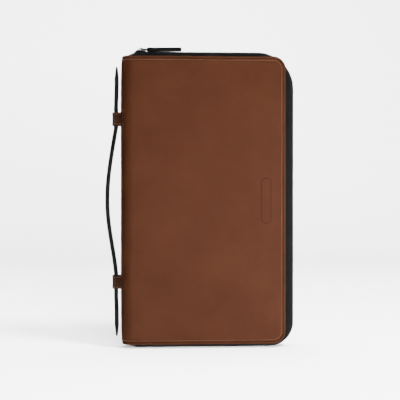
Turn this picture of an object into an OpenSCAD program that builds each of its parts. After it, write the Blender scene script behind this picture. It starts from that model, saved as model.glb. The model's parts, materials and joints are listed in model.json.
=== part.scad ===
// Zip-around travel document organizer with a sliding strap handle on its spine.
// X runs across the covers, with the spine at -X and the zip at +X.
// Y runs through the thickness, with the front cover at -Y.
// Z runs up the long side. The origin is under the middle of the whole object.

/* [Case] */
// Height of the leather covers
case_h = 236; // [228:0.2:290]
// Width of the closed case, from the spine to the free edge of the covers
case_w = 135; // [126:0.1:165]
// Thickness of the closed case over the leather
case_t = 28; // [26:0.5:36]
// Corner radius of the covers at the zip side
cover_r = 10.5; // [8:0.5:14]
// Outer radius of the two rounded sides of the spine
spine_r = 10; // [8:0.5:11]

/* [Layers] */
// Thickness of the outer leather
leather_t = 1.4; // [1:0.1:1.8]
// Thickness of the stiffening board under the leather
board_t = 0.8; // [0.5:0.1:1.2]
// Thickness of the lining
lining_t = 0.6; // [0.4:0.1:0.8]
// Gap between two layers that lie on each other
layer_gap = 0.05; // [0.02:0.01:0.1]
// Gap on each side of a fold line
fold_gap = 0.2; // [0.1:0.05:0.4]

/* [Main zip] */
// How far the zip stands out past the covers at the free edge
zip_bulge = 8; // [5:0.5:9]
// How far the zip stands above the covers at the top
zip_rise = 4.2; // [3:0.1:5]
// How far the zip stands below the covers at the bottom, where the case rests on it
zip_drop = 3; // [2.4:0.1:4]
// Radius of the zip's path round the upper corner
zip_upper_r = 30; // [24:0.5:34]
// Radius of the zip's path round the lower corner
zip_lower_r = 20; // [18:0.5:24]
// Thickness of the zip tape
tape_t = 0.6; // [0.4:0.05:0.7]
// Width of the seam that holds the tape between the leather and the lining
seam_w = 8; // [6:0.5:10]
// Width of the row of teeth on one tape
chain_w = 2.3; // [1.8:0.1:3]
// Thickness of the row of teeth
chain_t = 2; // [1.6:0.1:2.4]
// Gap between the two rows, where the slider's wedge runs
chain_gap = 1; // [0.8:0.1:1.4]
// Where the rows of teeth start, from the fold line
chain_start = 2.5; // [2:0.1:4]

/* [Main slider] */
// Gap between the fold line and the slider when the zip is closed
slider_start = 2.5; // [1:0.1:6]
// Length of the slider
slider_l = 8.4; // [7:0.2:11]
// Thickness of each of the slider's plates
slider_plate_t = 0.9; // [0.7:0.1:1.2]
// Clearance between the slider and the teeth
slider_clear = 0.25; // [0.15:0.05:0.4]
// Width of the slider past the teeth on each side
slider_side = 1.1; // [0.9:0.1:1.6]
// Height of the pull's pivot above the slider's upper plate
pull_pivot_h = 0.8; // [0.7:0.1:1.2]
// Length of the leather pull tab
tab_l = 28.8; // [20:0.2:36]
// Width of the leather pull tab
tab_w = 6.6; // [6:0.2:9]
// Thickness of the leather pull tab
tab_t = 2.2; // [1.8:0.1:2.8]
// Angle at which the pull lies above the zip
pull_tilt = 1; // [0:0.5:6]

/* [Handle] */
// Width of the handle strap
strap_w = 10; // [8:0.5:12]
// Thickness of the handle strap
strap_t = 3.6; // [2.8:0.1:4.4]
// Distance from the spine to the middle of the strap at the keepers
strap_stand = 3.9; // [3.6:0.1:6]
// How far the strap bows out between the keepers
strap_bow = 7.2; // [3:0.2:9]
// Width of the stops at the strap's two ends
stop_w = 14; // [13:0.5:16]
// Thickness of the stops at their tips
stop_tip_t = 1.8; // [1.4:0.1:2.2]
// Height of the middle of the lower keeper
keeper_low_z = 54; // [50:0.5:70]
// Distance from the top of the covers down to the middle of the upper keeper
keeper_drop = 51.5; // [46:0.5:70]
// Length of each keeper along the strap
keeper_l = 11; // [6:0.5:13]
// Thickness of the keepers' leather
keeper_t = 1; // [0.8:0.1:1.4]
// How far the keepers wrap round the spine, from its outermost line
keeper_wrap = 5.4; // [3:0.1:6]
// Clearance between the strap and its keepers
keeper_clear = 0.3; // [0.2:0.05:0.5]
// How far the handle pulls out
pull_out = 30; // [18:1:34]
// How far each end of the strap slides while the handle pulls out
end_travel = 12.5; // [8:0.5:14]
// Length of the stop on the upper end
stop_high_l = 24.5; // [14:0.5:28]
// Length of the stop on the lower end
stop_low_l = 26; // [14:0.5:28]

/* [Card pockets] */
// Width of the card pockets
card_w = 100; // [90:1:104]
// Depth of the lowest pocket in a bank
card_h = 58; // [54:1:60]
// Step from one pocket's mouth to the next
card_step = 14; // [10:0.5:14]
// Thickness of a pocket's leather
card_t = 0.9; // [0.6:0.1:1]
// Height of the lower bank above the ground
card_low_z = 15; // [13:1:17]
// Gap between the two banks
card_bank_gap = 10; // [4:1:12]

/* [Document and passport pockets] */
// Thickness of the leather of the document and passport pockets
panel_t = 1; // [0.7:0.1:1.2]
// Height of the document pocket's mouth below the top of the covers
document_drop = 10; // [9:1:20]
// Depth of the document pocket's inside
document_gap = 2; // [1.8:0.1:2.4]
// Width of the edge strips that space the pockets
edge_strip_w = 4; // [3:0.5:6]
// Width of the passport pocket
passport_w = 98; // [92:1:104]
// Height of the passport pocket
passport_h = 118; // [100:1:124]
// Depth of the passport pocket's inside
passport_gap = 1; // [0.8:0.1:1.4]
// Height of the passport pocket above the ground
passport_z = 19; // [16:1:23]

/* [Zip pocket] */
// Length of the zip pocket's opening
coin_w = 92; // [70:1:96]
// Height of the zip pocket's opening
coin_slot_h = 6; // [5.6:0.1:7]
// Height of the zip pocket's opening, from the top of the covers down
coin_drop = 48; // [40:1:60]
// Depth of the zip pocket below its opening
coin_depth = 62; // [40:1:70]
// Thickness of the zip pocket's lining
coin_lining_t = 0.4; // [0.3:0.05:0.5]
// Thickness of the zip pocket's tape
coin_tape_t = 0.5; // [0.35:0.05:0.6]
// Width of the row of teeth on one side of the zip pocket
coin_chain_w = 1.5; // [1.2:0.1:1.8]
// Gap between the two rows of teeth
coin_chain_gap = 0.8; // [0.6:0.1:1]
// Length of the zip pocket's slider
coin_slider_l = 6.4; // [5.4:0.2:8]
// Length of the zip pocket's metal pull
coin_pull_l = 13; // [9:0.5:14]

/* [Pen loop] */
// Radius of the pen loop's bore
pen_r = 4.75; // [3.5:0.05:4.9]
// Wall of the pen loop
pen_wall = 0.8; // [0.6:0.1:1]
// Length of the pen loop
pen_loop_l = 30; // [20:1:50]
// Height of the pen loop's lower end
pen_loop_z = 106; // [90:1:130]

/* [Hidden] */

$fn = 64;
FRONT = -1;
BACK = 1;
saddle = [0.48, 0.27, 0.16];
inner_tan = [0.42, 0.25, 0.16];
black_cloth = [0.10, 0.10, 0.10];
dark_leather = [0.07, 0.07, 0.07];
gunmetal = [0.36, 0.35, 0.34];
board_grey = [0.55, 0.52, 0.47];
over = 1; // overshoot of a cutting shape past the surface that it cuts

// Heights of the covers' lower and upper edges
cover_low = zip_drop;
cover_top = cover_low + case_h;

// Places across the case
handle_reach = strap_stand + strap_bow + strap_t / 2;
left = handle_reach - (handle_reach + case_w + zip_bulge) / 2;
right = left + case_w;
fold_x = left + spine_r;
spine_flat = case_t / 2 - spine_r;

// Depths of the layers, from the outer surface of a cover inwards
board_d = leather_t + layer_gap;
lining_d = board_d + board_t + layer_gap;
inside_d = lining_d + lining_t + layer_gap;

// The zip's path: its outer surface
zip_right = right + zip_bulge;
zip_top = cover_top + zip_rise;
tape_inset = (chain_t - tape_t) / 2;
zip_left = fold_x + chain_start;
lining_inset = 3;
lining_r = 24;
board_r = 20;
board_clear = 0.5;
inner_fold_gap = 3 * fold_gap;
tape_start = fold_x + 1;
sheet_corner_r = 2;

// The main slider
slider_x = fold_x + slider_start + slider_l / 2;
slider_half_w = chain_gap / 2 + chain_w + slider_side;
upper_plate_z = zip_top + slider_clear;
lower_plate_z = zip_top - chain_t - slider_clear - slider_plate_t;
pull_pivot_z = upper_plate_z + slider_plate_t + pull_pivot_h;
wedge_l = 2;
wedge_inset = 0.4;
wedge_clear = 0.15;
rim_start = 1.5;
rim_end = 0.5;
slider_nose_r = 1.5;
slider_taper = 0.6;
crown_w = 1.8;
crown_t = 0.7;
link_bar_r = 0.5;
crown_play = 0.1;
crown_in = pull_pivot_h + link_bar_r + crown_play;
link_arm_t = 0.9;
link_play = 0.25;
link_half_w = crown_w / 2 + link_play + link_arm_t;
tab_start = slider_l / 2 + 0.4;
link_plate_x = tab_start - 1.3;
tab_end_bevel = 0.6;
link_end = tab_start + 5;
tab_slot_play = 0.05;
rivet_x = tab_start + 2.8;
rivet_r = 0.9;
rivet_head_r = 1.6;
rivet_head_t = 0.4;

// The handle
strap_x = left - strap_stand;
keeper_high_z = cover_top - keeper_drop;
keeper_grip_gap = 1;
grip_low = keeper_low_z + keeper_l / 2 + keeper_grip_gap;
grip_high = keeper_high_z - keeper_l / 2 - keeper_grip_gap;
grip_mid = (grip_low + grip_high) / 2;
grip_half = (grip_high - grip_low) / 2;
cut_slope = end_travel / pull_out;
cut_gap = 0.32;
bow_steps = 32;
stop_play = 0.5;
stop_taper = 0.45;
stop_tip_flat = 4;
end_high_z = keeper_high_z + keeper_l / 2 + end_travel + stop_play;
end_low_z = keeper_low_z - keeper_l / 2 - end_travel - stop_play;

// The card pockets, from the lining inwards
card_x = fold_x + (case_w - spine_r - seam_w - card_w) / 2 + 1;
card_bank_h = card_h + 3 * card_step;

// The document pocket, the zip pocket inside it and the passport pocket on it
document_x0 = fold_x + 4;
document_x1 = right - seam_w - 2;
document_z0 = cover_low + 12;
document_z1 = cover_top - document_drop;
document_d = inside_d + document_gap + layer_gap;
passport_x = fold_x + (case_w - spine_r - seam_w - passport_w) / 2 + 2;
passport_strip_d = document_d + panel_t + layer_gap;
passport_d = passport_strip_d + passport_gap + layer_gap;
coin_x = document_x0 + (document_x1 - document_x0 - coin_w) / 2;
coin_z = cover_top - coin_drop;
coin_tape_d = document_d - layer_gap - coin_tape_t;
coin_tape_h = 10;
coin_end = 2;
coin_seam = 1;
coin_chain_t = 1.2;
coin_clear = 0.2;
coin_plate_t = 0.7;
coin_slider_x = coin_x + coin_end + coin_slider_l / 2 + 1;
coin_low_d = coin_tape_d - coin_clear / 2;
coin_wedge_l = 1.6;
coin_wedge_t = coin_chain_gap - 2 * wedge_clear;
coin_plate_r = 1;
coin_arm_w = 0.8;
coin_slider_half = 2.6;
coin_top_d = document_d + coin_chain_t + coin_clear;
coin_pivot_h = 0.7;
coin_pivot_d = coin_top_d + coin_plate_t + coin_pivot_h;
coin_crown_w = 1.2;
coin_crown_t = 0.6;
coin_bar_r = 0.35;
coin_pull_t = 0.8;

// The pen loop
pen_x = left + inside_d + pen_wall + pen_r;

// ---- Shared shapes ----

// Outline with square corners at the fold side and round ones at the free side
module right_rounded(x0, x1, z0, z1, lower_r, upper_r) {
    translate([x0, z0 + lower_r])
        square([x1 - x0, z1 - z0 - lower_r - upper_r]);
    translate([x0, z0])
        square([x1 - x0 - lower_r, lower_r]);
    translate([x0, z1 - upper_r])
        square([x1 - x0 - upper_r, upper_r]);
    translate([x1 - lower_r, z0 + lower_r])
        circle(r = lower_r);
    translate([x1 - upper_r, z1 - upper_r])
        circle(r = upper_r);
}

// Outline with four round corners
module rounded(x0, x1, z0, z1, r) {
    translate([x0 + r, z0])
        square([x1 - x0 - 2 * r, z1 - z0]);
    translate([x0, z0 + r])
        square([x1 - x0, z1 - z0 - 2 * r]);
    for (x = [x0 + r, x1 - r], z = [z0 + r, z1 - r])
        translate([x, z])
            circle(r = r);
}

// Lays an X-Z outline across the thickness, from y0 to y1
module across(y0, y1) {
    translate([0, y1, 0])
        rotate([90, 0, 0])
            linear_extrude(y1 - y0)
                children();
}

// A layer of one cover, t thick, at a depth under the cover's outer surface
module layer(side, depth, t) {
    near = case_t / 2 - depth;
    if (side == FRONT)
        across(-near, -near + t) children();
    else
        across(near - t, near) children();
}

// Outline of a cover, drawn in from its free edges
module cover_outline(inset, r, from_fold = fold_gap) {
    right_rounded(fold_x + from_fold, right - inset, cover_low + inset, cover_top - inset, r, r);
}

// Area inside the zip's path, drawn in from its outer surface
module zip_outline(x0, inset) {
    right_rounded(x0, zip_right - inset, inset, zip_top - inset,
        zip_lower_r - inset, zip_upper_r - inset);
}

// Band along the zip's path, between two insets from its outer surface
module zip_band(inset0, inset1, x0) {
    difference() {
        zip_outline(x0, inset0);
        zip_outline(x0 - over, inset1);
    }
}

// Places an X-Z outline on one side of the middle plane, between two distances from it
module beside_middle(side, y0, y1) {
    if (side == FRONT)
        across(-y1, -y0) children();
    else
        across(y0, y1) children();
}

// Cross-section of the spine, drawn in from its outer surface
module spine_section(inset) {
    for (y = [-spine_flat, spine_flat])
        translate([fold_x, y])
            circle(r = spine_r - inset);
    translate([left + inset, -spine_flat])
        square([spine_r - inset, 2 * spine_flat]);
}

// Curved wall of the spine between two insets, up to the fold lines
module spine_wall(inset0, inset1, x_end) {
    intersection() {
        difference() {
            spine_section(inset0);
            spine_section(inset1);
        }
        translate([left - spine_r, -case_t])
            square([x_end - left + spine_r, 2 * case_t]);
    }
}

// ---- Covers ----

module cover_leather(side) {
    color(saddle)
        layer(side, 0, leather_t)
            cover_outline(0, cover_r);
}

module cover_board(side) {
    color(board_grey)
        layer(side, board_d, board_t)
            cover_outline(seam_w + board_clear, board_r - board_clear, inner_fold_gap);
}

module cover_lining(side) {
    color(inner_tan)
        layer(side, lining_d, lining_t)
            cover_outline(lining_inset, lining_r, inner_fold_gap);
}

// ---- Main zip ----

// The tape: a seam that lies under the leather, and a wall that stands up to the teeth
module zip_tape(side) {
    color(black_cloth)
        union() {
            layer(side, board_d, tape_t)
                difference() {
                    zip_outline(tape_start, tape_inset);
                    right_rounded(fold_x - over, right - seam_w, cover_low + seam_w, cover_top - seam_w,
                        board_r, board_r);
                }
            beside_middle(side, chain_gap / 2 + chain_w, case_t / 2 - board_d)
                zip_band(tape_inset, tape_inset + tape_t, tape_start);
        }
}

module zip_chain(side) {
    color(dark_leather)
        beside_middle(side, chain_gap / 2, chain_gap / 2 + chain_w)
            zip_band(0, chain_t, zip_left);
}

// The two metal stops at the ends of one row of teeth
module zip_stops(side) {
    stop_l = zip_left - tape_start - 2 * layer_gap;
    color(gunmetal)
        beside_middle(side, chain_gap / 2, chain_gap / 2 + chain_w)
            for (z = [0, zip_top - chain_t])
                translate([zip_left - layer_gap - stop_l, z])
                    square([stop_l, chain_t]);
}

// ---- Inside the front cover ----

// Pocket i of 8: 0 to 3 are the upper bank and 4 to 7 the lower one, mouths stepping down
module card_pocket(i) {
    row = i % 4;
    base = card_low_z + (i < 4 ? card_bank_h + card_bank_gap : 0);
    top = base + card_h + (3 - row) * card_step;
    color(inner_tan)
        layer(FRONT, inside_d + row * (card_t + layer_gap), card_t)
            rounded(card_x, card_x + card_w, base, top, sheet_corner_r);
}

// ---- Inside the back cover ----

// U-shaped strip that closes a pocket on three sides
module edge_strip(x0, x1, z0, z1, depth, t) {
    layer(BACK, depth, t)
        difference() {
            rounded(x0, x1, z0, z1, sheet_corner_r);
            translate([x0 + edge_strip_w, z0 + edge_strip_w])
                square([x1 - x0 - 2 * edge_strip_w, z1 - z0]);
        }
}

module document_edge_strip() {
    color(inner_tan)
        edge_strip(document_x0, document_x1, document_z0, document_z1, inside_d, document_gap);
}

module document_pocket() {
    color(inner_tan)
        layer(BACK, document_d, panel_t)
            difference() {
                rounded(document_x0, document_x1, document_z0, document_z1, sheet_corner_r);
                translate([coin_x, coin_z - coin_slot_h / 2])
                    square([coin_w, coin_slot_h]);
            }
}

module passport_edge_strip() {
    color(inner_tan)
        edge_strip(passport_x, passport_x + passport_w, passport_z, passport_z + passport_h,
            passport_strip_d, passport_gap);
}

module passport_pocket() {
    color(inner_tan)
        layer(BACK, passport_d, panel_t)
            rounded(passport_x, passport_x + passport_w, passport_z, passport_z + passport_h, sheet_corner_r);
}

// ---- Zip pocket ----

module zip_pocket_lining() {
    color(black_cloth)
        layer(BACK, inside_d, coin_lining_t)
            rounded(coin_x - coin_seam, coin_x + coin_w + coin_seam, coin_z - coin_depth,
                coin_z + coin_tape_h, sheet_corner_r);
}

// Two tapes, above and below the teeth
module zip_pocket_tape() {
    color(black_cloth)
        layer(BACK, coin_tape_d, coin_tape_t)
            for (z = [coin_z + coin_chain_gap / 2, coin_z - coin_chain_gap / 2 - coin_tape_h])
                translate([coin_x - coin_seam, z])
                    square([coin_w + 2 * coin_seam, coin_tape_h]);
}

module zip_pocket_chain() {
    color(dark_leather)
        layer(BACK, document_d, coin_chain_t)
            for (z = [coin_z + coin_chain_gap / 2, coin_z - coin_chain_gap / 2 - coin_chain_w])
                translate([coin_x + coin_end, z])
                    square([coin_w - 2 * coin_end, coin_chain_w]);
}

// ---- Spine ----

module spine_leather() {
    color(saddle)
        translate([0, 0, cover_low])
            linear_extrude(case_h)
                spine_wall(0, leather_t, fold_x - fold_gap);
}

module spine_board() {
    color(board_grey)
        translate([0, 0, cover_low + seam_w])
            linear_extrude(case_h - 2 * seam_w)
                spine_wall(board_d, board_d + board_t, fold_x - 1);
}

module spine_lining() {
    color(inner_tan)
        translate([0, 0, cover_low + lining_inset])
            linear_extrude(case_h - 2 * lining_inset)
                spine_wall(lining_d, lining_d + lining_t, fold_x - fold_gap);
}

// Zip tape at one end of the spine, up is 1 for the upper end and -1 for the lower one.
// It stands out past the leather, more and more towards the zip.
module spine_tape(up) {
    seam_z = up > 0 ? cover_top - seam_w + layer_gap : cover_low + seam_w - layer_gap;
    leather_z = up > 0 ? cover_top : cover_low;
    zip_z = up > 0 ? zip_top : 0;
    color(black_cloth)
        intersection() {
            translate([0, 0, min(seam_z, zip_z)])
                linear_extrude(abs(zip_z - seam_z))
                    spine_wall(board_d, board_d + tape_t, fold_x - 1);
            across(-case_t, case_t)
                polygon([[left, seam_z - up * over], [fold_x, seam_z - up * over], [fold_x, zip_z], [left, leather_z]]);
        }
}

module pen_loop() {
    color(dark_leather)
        translate([pen_x, 0, pen_loop_z])
            difference() {
                union() {
                    cylinder(h = pen_loop_l, r = pen_r + pen_wall);
                    translate([-pen_r - pen_wall, -spine_flat, 0])
                        cube([pen_wall, 2 * spine_flat, pen_loop_l]);
                }
                translate([0, 0, -over])
                    cylinder(h = pen_loop_l + 2 * over, r = pen_r);
            }
}

// ---- Handle ----

// Loop that holds the strap, with wings that wrap round the spine
module keeper(z) {
    window_x = strap_t / 2 + keeper_clear;
    window_y = strap_w / 2 + keeper_clear;
    outer = strap_stand + window_x + keeper_t;
    color(saddle)
        translate([0, 0, z - keeper_l / 2])
            linear_extrude(keeper_l)
                difference() {
                    union() {
                        spine_wall(-keeper_t, -layer_gap, left + keeper_wrap);
                        translate([left - outer, -window_y - keeper_t])
                            square([outer - layer_gap, 2 * (window_y + keeper_t)]);
                    }
                    translate([strap_x - window_x, -window_y])
                        square([2 * window_x, 2 * window_y]);
                    spine_section(-layer_gap);
                }
}

// Distance from the straight line between the keepers to the bowed strap
function bow(z) = strap_bow * cos(90 * (z - grip_mid) / grip_half);

// The grip follows half a wave; its ends are cut along the line in which the strap's ends slide past
module handle_grip() {
    side_z = [for (i = [0 : bow_steps]) grip_low + (grip_high - grip_low) * i / bow_steps];
    half = strap_t / 2;
    end_shift = half * cut_slope;
    outer_face = [for (z = side_z) [strap_x - half - bow(z), z]];
    inner_face = [for (i = [bow_steps : -1 : 0]) [strap_x + half - bow(side_z[i]), side_z[i]]];
    low_cut = [[strap_x + half, grip_low + end_shift], [strap_x - half, grip_low - end_shift]];
    high_cut = [[strap_x - half, grip_high + end_shift], [strap_x + half, grip_high - end_shift]];
    color(dark_leather)
        across(-strap_w / 2, strap_w / 2)
            polygon(concat(
                [low_cut[1]],
                [for (i = [1 : bow_steps - 1]) outer_face[i]],
                high_cut,
                [for (i = [1 : bow_steps - 1]) inner_face[i]],
                [low_cut[0]]
            ));
}

// One end of the strap, from its cut by the grip to the tip of its stop.
// up is 1 for the upper end and -1 for the lower one.
module handle_end(up, cut_z, stop_z, stop_l) {
    half = strap_t / 2;
    tip = stop_z + up * stop_l;
    taper = stop_z + up * stop_l * stop_taper;
    end_shift = half * cut_slope;
    tip_r = stop_w / 2 - stop_tip_flat / 2;
    color(dark_leather)
        intersection() {
            across(-stop_w / 2, stop_w / 2)
                polygon([
                    [strap_x - half, cut_z + up * (cut_gap + end_shift)],
                    [strap_x + half, cut_z + up * (cut_gap - end_shift)],
                    [strap_x + half, taper],
                    [strap_x + stop_tip_t / 2, tip],
                    [strap_x - stop_tip_t / 2, tip],
                    [strap_x - half, taper]
                ]);
            translate([strap_x - strap_t, 0, 0])
                rotate([90, 0, 90])
                    linear_extrude(2 * strap_t)
                        union() {
                            translate([-strap_w / 2, min(cut_z - up * strap_t, taper)])
                                square([strap_w, abs(taper - cut_z) + strap_t]);
                            translate([-stop_w / 2, min(stop_z, tip - up * tip_r)])
                                square([stop_w, stop_l - tip_r]);
                            translate([-stop_w / 2 + tip_r, min(tip - up * tip_r, tip)])
                                square([stop_w - 2 * tip_r, tip_r]);
                            for (y = [-stop_w / 2 + tip_r, stop_w / 2 - tip_r])
                                translate([y, tip - up * tip_r])
                                    circle(r = tip_r);
                        }
        }
}

// ---- Main slider and its pull ----

// Two plates joined by a wedge that runs between the rows of teeth, with one rim over the back row
module zip_slider_body() {
    rim_w = slider_side - slider_clear;
    rim_z = zip_top - tape_inset + slider_clear;
    color(gunmetal)
        union() {
            for (z = [upper_plate_z, lower_plate_z])
                translate([slider_x, 0, z])
                    linear_extrude(slider_plate_t)
                        slider_outline();
            translate([slider_x - slider_l / 2 + wedge_inset, -chain_gap / 2 + wedge_clear, lower_plate_z])
                cube([wedge_l, chain_gap - 2 * wedge_clear, upper_plate_z - lower_plate_z + slider_plate_t]);
            translate([slider_x - slider_l / 2 + rim_start, slider_half_w - rim_w, rim_z])
                cube([slider_l - rim_start - rim_end, rim_w, upper_plate_z - rim_z + slider_plate_t / 2]);
        }
}

// Plan of a slider's plate: wide at the nose, narrower at the mouth
module slider_outline() {
    mouth = slider_half_w - slider_taper;
    translate([-slider_l / 2 + slider_nose_r, -slider_half_w])
        square([slider_l / 2 - slider_nose_r, 2 * slider_half_w]);
    translate([-slider_l / 2, -slider_half_w + slider_nose_r])
        square([slider_nose_r, 2 * (slider_half_w - slider_nose_r)]);
    for (y = [-slider_half_w + slider_nose_r, slider_half_w - slider_nose_r])
        translate([-slider_l / 2 + slider_nose_r, y])
            circle(r = slider_nose_r);
    polygon([[0, -slider_half_w], [slider_l / 2, -mouth], [slider_l / 2, mouth], [0, slider_half_w]]);
}

// Half ring over the upper plate that the pull hangs on
module zip_slider_crown() {
    color(gunmetal)
        translate([slider_x, 0, upper_plate_z + slider_plate_t + layer_gap])
            across(-crown_w / 2, crown_w / 2)
                intersection() {
                    difference() {
                        circle(r = crown_in + crown_t);
                        circle(r = crown_in);
                    }
                    translate([-crown_in - crown_t, 0])
                        square([2 * (crown_in + crown_t), crown_in + crown_t]);
                }
}

// Turns children to the angle at which the pull lies, about its pivot
module at_pull() {
    translate([slider_x, 0, pull_pivot_z])
        rotate([0, -pull_tilt, 0])
            children();
}

// Hole for the rivet, through the link and the tab
module rivet_hole() {
    translate([rivet_x, 0, 0])
        cylinder(h = 4 * tab_t, r = rivet_r + tab_slot_play, center = true);
}

// Metal link: a bar through the crown, two arms and a plate with a hole for the rivet
module zip_pull_link() {
    arm_overlap = 0.8;
    color(gunmetal)
        at_pull()
            difference() {
                union() {
                    rotate([90, 0, 0])
                        cylinder(h = 2 * link_half_w, r = link_bar_r, center = true);
                    for (y = [-link_half_w, link_half_w - link_arm_t])
                        translate([0, y, -link_bar_r])
                            cube([link_plate_x + arm_overlap, link_arm_t, 2 * link_bar_r]);
                    translate([link_plate_x, -link_half_w, -link_bar_r])
                        cube([link_end - link_plate_x, 2 * link_half_w, 2 * link_bar_r]);
                }
                rivet_hole();
            }
}

module zip_pull_tab() {
    end_r = tab_w / 2 - tab_end_bevel;
    play = tab_slot_play;
    slot_half = link_half_w + play;
    color(dark_leather)
        at_pull()
            difference() {
                translate([0, 0, -tab_t / 2])
                    linear_extrude(tab_t)
                        rounded(tab_start, tab_start + tab_l, -tab_w / 2, tab_w / 2, end_r);
                translate([tab_start - over, -slot_half, -link_bar_r - play])
                    cube([link_end - tab_start + over + play, 2 * slot_half, 2 * (link_bar_r + play)]);
                rivet_hole();
            }
}

module zip_pull_rivet() {
    color(gunmetal)
        at_pull()
            translate([rivet_x, 0, 0])
                union() {
                    cylinder(h = tab_t + 2 * rivet_head_t, r = rivet_r, center = true);
                    for (z = [tab_t / 2, -tab_t / 2 - rivet_head_t])
                        translate([0, 0, z])
                            cylinder(h = rivet_head_t, r = rivet_head_r);
                }
}

// ---- Zip pocket's slider and pull ----

// Depth under the back cover's outer surface, as a Y coordinate
function back_y(depth) = case_t / 2 - depth;

module pocket_slider_body() {
    x0 = coin_slider_x - coin_slider_l / 2;
    color(gunmetal)
        union() {
            layer(BACK, coin_top_d, coin_plate_t)
                rounded(x0, x0 + coin_slider_l, coin_z - coin_slider_half, coin_z + coin_slider_half, coin_plate_r);
            layer(BACK, coin_low_d - coin_plate_t, coin_plate_t)
                rounded(x0, x0 + coin_slider_l, coin_z - coin_slider_half, coin_z + coin_slider_half, coin_plate_r);
            translate([x0 + coin_plate_r / 2, back_y(coin_top_d + coin_plate_t / 2), coin_z - coin_wedge_t / 2])
                cube([coin_wedge_l, coin_top_d - coin_low_d + coin_plate_t, coin_wedge_t]);
        }
}

module pocket_slider_crown() {
    inner = coin_pivot_h + coin_bar_r + crown_play;
    outer = inner + coin_crown_t;
    color(gunmetal)
        translate([coin_slider_x, back_y(coin_top_d + coin_plate_t + layer_gap), coin_z - coin_crown_w / 2])
            linear_extrude(coin_crown_w)
                intersection() {
                    difference() {
                        circle(r = outer);
                        circle(r = inner);
                    }
                    translate([-outer, -outer])
                        square([2 * outer, outer]);
                }
}

// Metal pull that lies along the zip, turning on a bar through the crown
module pocket_pull() {
    half_w = coin_crown_w / 2 + link_play + coin_arm_w;
    plate_x = coin_slider_l / 2 + coin_bar_r + coin_clear;
    plate_r = 1;
    color(gunmetal)
        translate([coin_slider_x, back_y(coin_pivot_d), coin_z])
            union() {
                cylinder(h = 2 * half_w, r = coin_bar_r, center = true);
                for (z = [-half_w, half_w - coin_arm_w])
                    translate([0, -coin_pull_t / 2, z])
                        cube([plate_x + plate_r, coin_pull_t, coin_arm_w]);
                across(-coin_pull_t / 2, coin_pull_t / 2)
                    rounded(plate_x, coin_pull_l, -half_w, half_w, plate_r);
            }
}

cover_leather(FRONT);  // front_leather
cover_board(FRONT);  // front_board
cover_lining(FRONT);  // front_lining
zip_tape(FRONT);  // zip_tape_front
zip_chain(FRONT);  // zip_chain_front
zip_stops(FRONT);  // zip_stops_front
card_pocket(0);  // card_pocket_1
card_pocket(1);  // card_pocket_2
card_pocket(2);  // card_pocket_3
card_pocket(3);  // card_pocket_4
card_pocket(4);  // card_pocket_5
card_pocket(5);  // card_pocket_6
card_pocket(6);  // card_pocket_7
card_pocket(7);  // card_pocket_8
cover_leather(BACK);  // back_leather
cover_board(BACK);  // back_board
cover_lining(BACK);  // back_lining
zip_tape(BACK);  // zip_tape_back
zip_chain(BACK);  // zip_chain_back
zip_stops(BACK);  // zip_stops_back
document_pocket();
document_edge_strip();
passport_pocket();
passport_edge_strip();
zip_pocket_lining();
zip_pocket_tape();
zip_pocket_chain();
spine_leather();
spine_board();
spine_lining();
spine_tape(1);  // spine_tape_top
spine_tape(-1);  // spine_tape_bottom
pen_loop();
keeper(keeper_high_z);  // keeper_upper
keeper(keeper_low_z);  // keeper_lower
handle_grip();
handle_end(1, grip_high, end_high_z, stop_high_l);  // handle_end_upper
handle_end(-1, grip_low, end_low_z, stop_low_l);  // handle_end_lower
zip_slider_body();
zip_slider_crown();
zip_pull_link();
zip_pull_tab();
zip_pull_rivet();
pocket_slider_body();
pocket_slider_crown();
pocket_pull();
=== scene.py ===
"""Looks of a zip-around leather travel document organizer with a sliding strap handle.

Lengths in this script are in millimetres; they become metres when a mesh is made.
"""

import json
import math

import bpy
import bmesh
import numpy as np
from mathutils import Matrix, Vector
from mathutils.geometry import delaunay_2d_cdt


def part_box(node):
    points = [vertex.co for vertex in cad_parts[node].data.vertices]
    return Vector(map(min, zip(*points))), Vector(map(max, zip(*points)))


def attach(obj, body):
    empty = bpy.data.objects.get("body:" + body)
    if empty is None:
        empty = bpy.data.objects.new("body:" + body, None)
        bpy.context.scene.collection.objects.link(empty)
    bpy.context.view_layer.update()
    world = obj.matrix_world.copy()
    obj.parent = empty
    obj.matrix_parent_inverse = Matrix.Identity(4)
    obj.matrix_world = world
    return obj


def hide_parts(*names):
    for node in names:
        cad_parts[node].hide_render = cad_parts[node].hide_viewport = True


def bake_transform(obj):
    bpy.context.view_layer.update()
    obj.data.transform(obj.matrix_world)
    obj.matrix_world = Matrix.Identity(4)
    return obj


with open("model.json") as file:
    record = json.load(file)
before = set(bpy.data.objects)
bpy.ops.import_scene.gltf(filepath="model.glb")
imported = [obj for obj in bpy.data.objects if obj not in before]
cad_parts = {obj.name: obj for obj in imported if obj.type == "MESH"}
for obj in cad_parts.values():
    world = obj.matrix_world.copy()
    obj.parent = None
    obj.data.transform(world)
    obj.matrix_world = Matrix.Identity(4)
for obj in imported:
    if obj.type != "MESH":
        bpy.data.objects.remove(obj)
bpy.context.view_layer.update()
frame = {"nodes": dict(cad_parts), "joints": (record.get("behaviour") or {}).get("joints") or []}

MM = 0.001
FRONT, BACK = -1, 1
SIDES = {FRONT: "front", BACK: "back"}
rng = np.random.default_rng(7)


def box(node):
    """Lowest and highest corner of a CAD node, in millimetres."""
    low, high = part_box(node)
    return np.array(low) / MM, np.array(high) / MM


# ---- Sizes read off the CAD frame ----

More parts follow.
